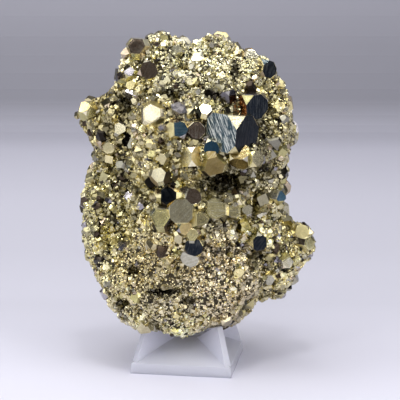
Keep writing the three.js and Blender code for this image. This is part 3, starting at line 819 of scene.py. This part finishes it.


# %% [markdown]
# A crystal's colour starts from its region's. Patches of druse are painted brighter or darker, as painted
# light and shade, a few crystals are tarnished their own way, and painted shade darkens what lies deep in
# the seams and caves. Neighbours often grew on one crystal below, so in some patches all are turned
# nearly alike, and such a patch flashes as one.

# %% Scatter
def scattered(name, habit, places, turns, sizes, tints, gleams):
    """One mesh with a copy of one of the habit's uneven solids at each place: its corners times the
    size, turned, and moved there."""
    kind = draw.integers(0, UNEVEN_KINDS, len(places))
    made, corners, counts, shades, shines = [], [], [], [], []
    total = 0
    for number, (points, faces, _) in enumerate(UNEVEN[habit]):
        who = np.flatnonzero(kind == number)
        copies = np.einsum("nij,vj->nvi", turns[who], points) * sizes[who, None, None] + places[who, None]
        made.append(copies.reshape(-1, 3))
        first = total + np.arange(len(who))[:, None] * len(points)
        corners.append((first + np.concatenate(faces)).ravel())
        counts.append(np.tile([len(face) for face in faces], len(who)))
        shades.append(np.repeat(tints[who], len(faces), axis=0))
        shines.append(np.repeat(gleams[who], len(faces)))
        total += len(who) * len(points)
    counts = np.concatenate(counts)
    shade = np.concatenate(shades) * draw.uniform(0.8, 1.15, (len(counts), 1))
    shine = np.clip(np.concatenate(shines) + draw.normal(0, 0.2, len(counts)), 0, 1)
    attributes = {"tint": shade, "gleam": shine}
    piece = mesh_piece(name, np.concatenate(made), np.concatenate(corners), counts, attributes)
    print(f"{name}: {len(places)} crystals, {int((counts - 2).sum())} triangles")
    return piece


# Patches of painted light and shade, where the druse is painted brighter or darker than round about: place,
# reach, and how bright it is.
PAINTED_LIGHT_PATCHES = [
    ((0.005, -0.006, 0.082), 0.009, 1.20),
    ((0.022, -0.003, 0.074), 0.005, 1.35),
    ((0.009, -0.010, 0.069), 0.007, 0.60),
    ((-0.004, -0.008, 0.073), 0.006, 0.85),
    ((-0.020, -0.003, 0.0685), 0.006, 0.72),
    ((-0.014, -0.006, 0.063), 0.006, 0.76),
    ((0.001, -0.012, 0.059), 0.007, 0.62),
    ((0.016, -0.011, 0.060), 0.0075, 0.40),
    ((-0.014, -0.010, 0.047), 0.006, 0.92),
    ((0.002, -0.014, 0.0495), 0.005, 1.50),
    ((0.017, -0.010, 0.042), 0.006, 1.50),
    ((-0.008, -0.014, 0.032), 0.006, 0.80),
    ((-0.006, -0.014, 0.025), 0.006, 0.72),
    ((0.016, -0.009, 0.019), 0.006, 0.50),
    ((0.013, -0.013, 0.030), 0.005, 1.15),
    ((0.028, -0.003, 0.033), 0.006, 1.25),
    ((-0.004, -0.012, 0.014), 0.009, 1.28),
]
PAINTED_LIGHT_PLACES, PAINTED_LIGHT_REACHES, PAINTED_LIGHT_FACTORS = columns(PAINTED_LIGHT_PATCHES)
# Painted shade in the seams and caves: how deep the rock lies where the painted shade begins and where it
# is full, the cave depth that gets all of it, and the share of the light that it takes away.
SEAM_FROM, SEAM_FULL = 0.0009, 0.0023  # how deep the rock lies where dirt begins, and where it is full
FULL_SHADE_CAVE_DEPTH = 0.0045  # a cave this deep is as dirty as any
SEAM_PAINTED_SHADE, CAVE_PAINTED_SHADE = 0.58, 0.88  # the share of the light that full dirt takes away


def tinted(points, base, odd_ones, palette):
    """The region's tint, drifting by patches towards neighbouring tarnishes. A share of the crystals,
    the odd ones, draw theirs from the palette instead, and each is a little lighter or darker. Painted
    shade darkens the crystals sunk deep in the seams and caves. Each of the patches of painted light and
    shade multiplies by 1 + (its brightness - 1) * its nearness."""
    colour = base * (1 + 0.15 * smooth_noise(points, 0.006, 31)[:, None])
    drift = smooth_noise(points, 0.0035, 32)[:, None]
    colour = colour + np.clip(drift, 0, 1) * 0.35 * (np.array(GREY) - colour)
    colour = colour + np.clip(-drift, 0, 1) * 0.25 * (np.array(BRASS) - colour)
    lot = draw.uniform(size=(len(points), 1))
    colour = np.where(lot < odd_ones, palette[draw.integers(0, len(palette), len(points))], colour)
    # Painted shade: crystals sunk in the seams and deep in the caves are darkened.
    sunk = np.clip((push_of(points)[:, None] - SEAM_FROM) / (SEAM_FULL - SEAM_FROM), 0, 1)
    painted_cave_shade = np.clip(cave_share(points) @ CAVE_DEPTHS / FULL_SHADE_CAVE_DEPTH, 0, 1)[:, None]
    # Painted light and shade: each patch brightens or darkens the crystals near it.
    patches = (1 + (PAINTED_LIGHT_FACTORS - 1) * nearness(points, PAINTED_LIGHT_PLACES, PAINTED_LIGHT_REACHES)).prod(1)
    colour = colour * (1 - SEAM_PAINTED_SHADE * sunk) * (1 - CAVE_PAINTED_SHADE * painted_cave_shade) * patches[:, None]
    return np.clip(colour * draw.uniform(0.7, 1.25, (len(points), 1)), 0, 0.95)


def crystal_turns(points, patch, together, loose):
    """Turns for crystals. In a share of the patches the crystals grew nearly parallel, so there each
    adds only a little of its own, the looseness, to the patch's turn."""
    _, _, owner = cell_noise(points, patch, 41)
    shared = np.stack([hashed(owner, 50 + k) for k in range(4)], 1) - 0.5
    parallel = hashed(owner, 60) < together
    own = draw.normal(size=(len(points), 4))
    unit = shared / np.linalg.norm(shared, axis=1, keepdims=True)
    return turns_from(np.where(parallel[:, None], unit + own * loose, own))


def coarseness(points):
    """How coarse the grains of a patch are, from 0 to 1: a draw for each cell of a coarse cell pattern,
    squared so that most patches are fine."""
    return hashed(cell_noise(points, 0.0055, 71)[2], 72) ** 2


def spread_out(places, sizes, share):
    """Which crystals to keep so that no two stand closer than a share of their sizes put together: one
    gives way when a neighbour that near comes before it in the list."""
    apart = np.linalg.norm(places[:, None] - places, axis=2)
    crowded = apart < share * (sizes[:, None] + sizes)
    return ~np.tril(crowded, -1).any(1)


def keep(taken, *arrays):
    """The rows that are taken, of every array."""
    return [array[taken] for array in arrays]


def by_habit(label, chances, places, turns, sizes, tints, gleams, halves=(("", True),)):
    """One scattered piece for each habit, or for each of its halves. chances says how likely a crystal
    is to have each habit."""
    kinds = draw.choice(len(chances), len(places), p=list(chances.values()))
    return [
        scattered(f"{label}_{habit}s{side}", habit, *keep(who, places, turns, sizes, tints, gleams))
        for number, habit in enumerate(chances)
        for side, half in halves
        for who in [(kinds == number) & half]
    ]


# %% [markdown]
# Crystals of one to three millimetres come first. They take up most of the coarse patches, half sunk in
# the finer ones, and a crystal this big shows its flat faces plainly, so they get the clipped habits.

# %% Middling crystals
MIDDLING_DRAWN = 4200
WORN_EDGE = 0.00005
DARKER = np.array([OLIVE, OLIVE, GREY, BRASS, UMBER, LILAC, BRASS, SAND, BRASS, ROSE, SOOT, GREY])
places, normals, _ = drawn_on_rock(MIDDLING_DRAWN)
values = region_values(places)
sizes = (0.0006 + 0.0011 * draw.uniform(size=MIDDLING_DRAWN) ** 1.6) * (0.85 + 0.4 * values[:, 1])
wanted = values[:, 1] * (0.35 + 1.3 * coarseness(places))
taken = (draw.uniform(size=MIDDLING_DRAWN) < wanted) & off_big_crystals(places, 0.55 * sizes)
taken &= cave_share(places).max(1) < 0.25
places, normals, values, sizes = keep(taken, places, normals, values, sizes)
taken = spread_out(places, sizes, 0.62)
places, normals, values, sizes = keep(taken, places, normals, values, sizes)
places = places - normals * (sizes * draw.uniform(0.1, 0.5, len(places)))[:, None]
turns = crystal_turns(places, 0.006, 0.3, 0.1)
tints = tinted(places, values[:, 2:] * 0.85, 0.6, DARKER)
gleams = draw.uniform(0, 0.8, len(places))
chances = {"octahedron": 0.3, "pyritohedron": 0.25, "cube": 0.25, "cuboctahedron": 0.2}
middling_pieces = by_habit("middling", chances, places, turns, sizes, tints, gleams)
for piece in middling_pieces:
    round_edges(piece, WORN_EDGE, 1)

# %% [markdown]
# Between them and the dust-fine druse lie small crystals about a millimetre across.

# %% Small crystals
SMALL_DRAWN = 16000
places, normals, _ = drawn_on_rock(SMALL_DRAWN)
values = region_values(places)
sizes = values[:, 0] * draw.uniform(1.3, 2.6, SMALL_DRAWN)
taken = draw.uniform(size=SMALL_DRAWN) < (0.1 + 0.6 * values[:, 1]) * (0.5 + coarseness(places))
taken &= off_big_crystals(places, 0.3 * sizes) & (cave_share(places)[:, 0] < 0.2)
places, normals, values, sizes = keep(taken, places, normals, values, sizes)
places = places + normals * (sizes * draw.uniform(-0.3, 0.2, len(places)))[:, None]
turns = crystal_turns(places, 0.004, 0.4, 0.09)
tints = tinted(places, values[:, 2:], 0.28, DARKER)
gleams = draw.uniform(size=len(places))
chances = {"cuboctahedron": 0.4, "octahedron": 0.3, "pyritohedron": 0.3}
small_pieces = by_habit("small", chances, places, turns, sizes, tints, gleams)

# %% [markdown]
# Then the druse: grains well under a millimetre. Seen from a hand's breadth each is only a glint or
# two, so the plain shapes of eight, twelve or twenty triangles are enough, and there can be many.

# %% Fine druse
DRUSE_DRAWN = 130000
FINEST = REGION_VALUES[:, 0].min()
places, normals, rock_area = drawn_on_rock(DRUSE_DRAWN)
values = region_values(places)
sizes = values[:, 0] * (0.75 + 0.8 * coarseness(places)) * np.exp(draw.normal(0, 0.3, DRUSE_DRAWN))
taken = draw.uniform(size=DRUSE_DRAWN) < 0.6 * (0.85 * FINEST / sizes) ** 1.5
taken &= off_big_crystals(places, 0.00005)
places, normals, values, sizes = keep(taken, places, normals, values, sizes)
places = places + normals * (sizes * draw.uniform(-0.3, 0.5, len(places)))[:, None]
turns = crystal_turns(places, 0.0028, 0.5, 0.1)
tints = tinted(places, values[:, 2:], 0.12, DARKER)
gleams = draw.uniform(size=len(places))
chances = {"plain_octahedron": 0.45, "plain_cube": 0.33, "cuboctahedron": 0.22}
front = places[:, 1] < np.median(places[:, 1])
halves = (("_front", front), ("_back", ~front))
druse_pieces = by_habit("druse", chances, places, turns, sizes, tints, gleams, halves)
print(f"{len(places)} grains on {rock_area * 1e6:.0f} square millimetres of rock")

# %% [markdown]
# ## The finish of the crystals
#
# Pyrite is a mirror with flaws. Its shader is a plain metal whose colour comes from each face's own
# tarnish. What breaks up the mirror is, from coarse to fine: cloudy patches of tarnish, growth lines
# along one axis, and a skin of tiny facets, each tilted a little its own way. The facets are drawn by a
# Voronoi pattern whose random colour tilts the normal, which glitters where a bump map only looks rough.

# %% Crystal finish
def facet_tilt(finish, where, scale, strength):
    """The surface's normal, tilted in every Voronoi cell by that cell's own random vector."""
    inputs = {"Vector": where, "Scale": scale}
    cells = finish.node("ShaderNodeTexVoronoi", {"feature": "F1"}, inputs, "Color")
    centred = finish.vector("SUBTRACT", cells, (0.5, 0.5, 0.5))
    normal = finish.node("ShaderNodeNewGeometry", {}, {}, "Normal")
    tilted = finish.vector("ADD", normal, finish.scaled(centred, strength))
    return finish.vector("NORMALIZE", tilted, (0, 0, 0))


CLOUD = (0.55, 0.50, 0.42, 1)  # what a cloud of tarnish leaves of a colour
LINE = (0.86, 0.88, 0.80, 1)


def crystal_finish(name, facets=None):
    """Metal tinted face by face, with tiny facets of a scale and strength. Without facets it has growth
    lines instead, drawn by the piece's own map of its faces."""
    finish = Finish(name, metallic=1.0)
    where = finish.place()
    gleam = finish.attribute("gleam")
    clouds = finish.noise(where, 420.0, 3.0)
    cloudy = finish.spread(clouds, 0.42, 0.72, 0, 0.5)
    colour = finish.mix(cloudy, finish.attribute("tint", "Color"), CLOUD, "MULTIPLY")
    mottle = finish.noise(where, 2400.0, 2.0, 0.7)
    colour = finish.scaled(colour, finish.spread(mottle, 0.3, 0.7, 0.86, 1.18))
    roughness = 0.05 + 0.20 * gleam * gleam + 0.10 * clouds + 0.08 * mottle
    if facets:
        normal = facet_tilt(finish, where, *facets)
    else:
        flat = finish.node("ShaderNodeUVMap", {"uv_map": "growth_lines"})
        streaks = finish.noise(finish.stretched(flat, (0.22, 1.9, 1)), 1.3, 4.0, 0.75)
        marks = finish.spread(streaks, 0.48, 0.6)
        lined = finish.attribute("lined")
        colour = finish.mix(marks * lined, colour, LINE)
        roughness = roughness + 0.15 * marks * lined
        normal = finish.bump(finish.noise(finish.stretched(flat, (0.5, 16.0, 1)), 2.0), 0.14, 0.00006)
    finish.set(base_color=colour, roughness=roughness, normal=normal)
    return finish.material


# %% [markdown]
# The rock itself is a dull, dark mass of the same mineral with some rust, so it is not quite all metal.
# It is rougher than the crystals, and its own glitter is finer.

# %% Rock finish
ROCK_STOPS = [(0.25, (0.020, 0.016, 0.012)), (0.5, (0.06, 0.05, 0.03)), (0.75, (0.14, 0.11, 0.06))]


def rock_finish():
    """Dark brown, coloured by broad patches and fine grain together and roughened by the grain."""
    finish = Finish("rock_matrix", metallic=0.8)
    where = finish.place()
    patches = finish.noise(where, 160.0, 4.0, 0.6)
    grain = finish.noise(where, 1600.0, 3.0, 0.6)
    colour = finish.ramp(0.6 * patches + 0.4 * grain, ROCK_STOPS)
    normal = facet_tilt(finish, where, 3600.0, 0.8)
    finish.set(base_color=colour, roughness=0.35 + 0.3 * grain, normal=normal)
    return finish.material


for pieces, material in (
    ([rock], rock_finish()),
    ([big_crystals], crystal_finish("big_crystal_metal")),
    (middling_pieces, crystal_finish("middling_crystal_metal", (900.0, 0.10))),
    (small_pieces, crystal_finish("small_crystal_metal", (1500.0, 0.16))),
    (druse_pieces, crystal_finish("druse_metal", (4200.0, 0.4))),
):
    for piece in pieces:
        piece.data.materials.append(material)
    print(material.name, "on", len(pieces), "pieces")

# %% [markdown]
# ## The clear stand
#
# The stand is moulded acrylic: its edges came out of the mould slightly round, and that is what catches
# the light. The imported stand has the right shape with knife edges. A welded copy with a small bevel
# keeps the shape and adds the rounding. Wholly clear acrylic would only mirror the dark stone inside
# itself, so this one is a little milky, and the light spreads about in it.

# %% Stand
STAND_ROUND = 0.0003
stand_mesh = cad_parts["display_stand"].data.copy()
stand = in_scene("clear_stand", stand_mesh)
weld(stand)
round_edges(stand, STAND_ROUND, 3, sharp=20)


def acrylic_finish():
    """Clear acrylic that is slightly milky. Faint flow marks and finger haze break up its gloss."""
    finish = Finish(
        "clear_acrylic",
        base_color=(0.80, 0.81, 0.98, 1),
        ior=1.49,
        transmission_weight=0.25,
        subsurface_weight=0.55,
        subsurface_radius=(1, 1, 1),
        subsurface_scale=0.008,
    )
    haze = finish.noise(finish.place(), 90.0, 3.0)
    flow = finish.noise(finish.place(), 45.0, 1.0)
    finish.set(
        roughness=finish.spread(haze, 0.45, 0.8, 0.12, 0.25), normal=finish.bump(flow, 0.1, 0.0002)
    )
    return finish.material


stand_mesh.materials.clear()
stand_mesh.materials.append(acrylic_finish())
print("the stand's rounding, in metres:", STAND_ROUND)

# %% [markdown]
# ## Floor, backdrop and lights
#
# The stone is a heap of mirrors, so the room matters more than the lamps: facets that look up must find
# a big soft light, facets that look down must find a pale floor, and facets that look at the camera
# must find a dark room, or the stone has no blacks. The floor sweeps up behind into a backdrop, and the
# paper's colour paints light and shade along it: paler at the front, a band of painted shade just behind
# the stone, and darker up the backdrop.

# %% Sweep
SWEEP_WIDTH, SWEEP_FRONT, SWEEP_BACK, SWEEP_BEND, SWEEP_TOP = 6.0, -4.0, 0.75, 0.35, 1.6
PAPER_FROM, PAPER_TO = -0.05, 1.2  # the visible part of the paper, by Y + Z


def sweep():
    """A strip with one profile all along X: level from the front to the bend, a quarter circle of the
    bend's radius, then straight up."""
    angle = np.linspace(0, np.pi / 2, 17)
    y = np.concatenate([[SWEEP_FRONT], SWEEP_BACK + SWEEP_BEND * np.sin(angle), [SWEEP_BACK + SWEEP_BEND]])
    z = np.concatenate([[0], SWEEP_BEND * (1 - np.cos(angle)), [SWEEP_TOP]])
    x = np.array([-SWEEP_WIDTH / 2, SWEEP_WIDTH / 2])
    points = np.stack([np.tile(x, len(y)), np.repeat(y, 2), np.repeat(z, 2)], 1)
    first = 2 * np.arange(len(y) - 1)
    corners = np.stack([first, first + 1, first + 3, first + 2], 1)
    return mesh_piece("sweep", points, corners.ravel(), np.full(len(corners), 4))


# Painted light and shade on the paper, by the share of its visible length: paler at the front, a band of
# painted shade on the floor just behind the stone, and darker up the backdrop.
PAPER = [
    (0.02, 0.73), (0.05, 0.71), (0.09, 0.61), (0.16, 0.60), (0.28, 0.66), (0.52, 0.71),
    (0.70, 0.60), (0.78, 0.40), (0.90, 0.43), (0.98, 0.50),
]  # how pale the paper is, by the share of its visible length from front to back


def sweep_finish():
    """Pale violet-grey paper with painted light and shade along its length, which is Y + Z near enough."""
    finish = Finish("paper_sweep", roughness=0.55)
    inputs = {0: finish.place(), 1: (0, 1, 1)}
    along = finish.node("ShaderNodeVectorMath", {"operation": "DOT_PRODUCT"}, inputs, "Value")
    stops = [(place, (pale, 0.995 * pale, 1.13 * pale)) for place, pale in PAPER]
    finish.set(base_color=finish.ramp(finish.spread(along, PAPER_FROM, PAPER_TO), stops))
    return finish.material


floor = sweep()
floor.data.materials.append(sweep_finish())
print("the sweep:", len(floor.data.polygons), "faces")

# %% [markdown]
# The lamps are soft and flat. A wide one hangs overhead, a weaker one stands at each side, and two in
# front light the facets that look at the viewer. Three small ones only add sparkle.

# %% Lights
MIDDLE = Vector((0.004, 0, 0.045))
LAMPS = {  # place, width, height, power, colour
    "overhead": ((-0.15, -0.17, 0.90), 1.4, 1.15, 9.4, (1, 0.99, 0.97)),
    "left_window": ((-0.70, -0.15, 0.35), 0.45, 0.6, 1.4, (0.97, 0.98, 1)),
    "right_window": ((0.64, -0.30, 0.36), 0.36, 0.5, 1.3, (1, 0.98, 0.95)),
    "front_fill": ((0.15, -1.0, 0.20), 0.9, 0.5, 0.6, (1, 1, 1)),
    "front_panel": ((-0.19, -0.62, 0.27), 0.26, 0.20, 0.24, (1, 0.98, 0.93)),
    "glint_left": ((-0.28, -0.38, 0.42), 0.06, 0.06, 0.24, (1, 1, 1)),
    "glint_right": ((0.24, -0.30, 0.50), 0.06, 0.06, 0.24, (1, 1, 1)),
    "glint_top": ((0.02, -0.20, 0.60), 0.06, 0.06, 0.4, (1, 1, 1)),
}


def soft_light(name, place, width, height, power, colour):
    """A flat lamp that looks at the stone. Its size is what a facet mirrors, its power how bright."""
    data = bpy.data.lights.new(name, "AREA")
    data.shape = "RECTANGLE"
    data.size, data.size_y = width, height
    data.energy, data.color = power, colour
    lamp = in_scene(name, data)
    lamp.location = place
    lamp.rotation_euler = (MIDDLE - Vector(place)).to_track_quat("-Z", "Y").to_euler()
    lamp.visible_camera = False


for name, settings in LAMPS.items():
    soft_light(name, *settings)
print(len(LAMPS), "lamps of", sum(settings[3] for settings in LAMPS.values()), "watts together")

# %% [markdown]
# Round all this lies a dim room. It is darkest a little above the level of the eye, where the facets
# that face the viewer find their reflections, and palest towards the ceiling.

# %% Room
ROOM = [(0.0, 0.14), (0.12, 0.075), (0.35, 0.13), (0.6, 0.27), (1.0, 0.34)]  # brightness by height
world = bpy.data.worlds.new("dim_room")
room = Finish("dim_room", world)
direction = room.node("ShaderNodeTexCoord", {}, {}, "Generated")
upwards = room.node("ShaderNodeSeparateXYZ", {}, {"Vector": direction}, "Z")
stops = [(place, (0.97 * shade, 0.98 * shade, 1.08 * shade)) for place, shade in ROOM]
room.set(color=room.ramp(upwards, stops))
bpy.context.scene.world = world
bpy.context.scene.view_settings.view_transform = "Standard"

# %% [markdown]
# ## Handing the pieces to the frame
#
# Nothing moves on this object, so every piece rides on the one body. The rock, the crystals and the
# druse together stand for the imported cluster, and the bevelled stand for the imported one.

# %% Ride and replace
for piece in (rock, big_crystals, *middling_pieces, *small_pieces, *druse_pieces):
    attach(piece, "root")
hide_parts("pyrite_cluster")
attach(stand, "root")
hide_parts("display_stand")
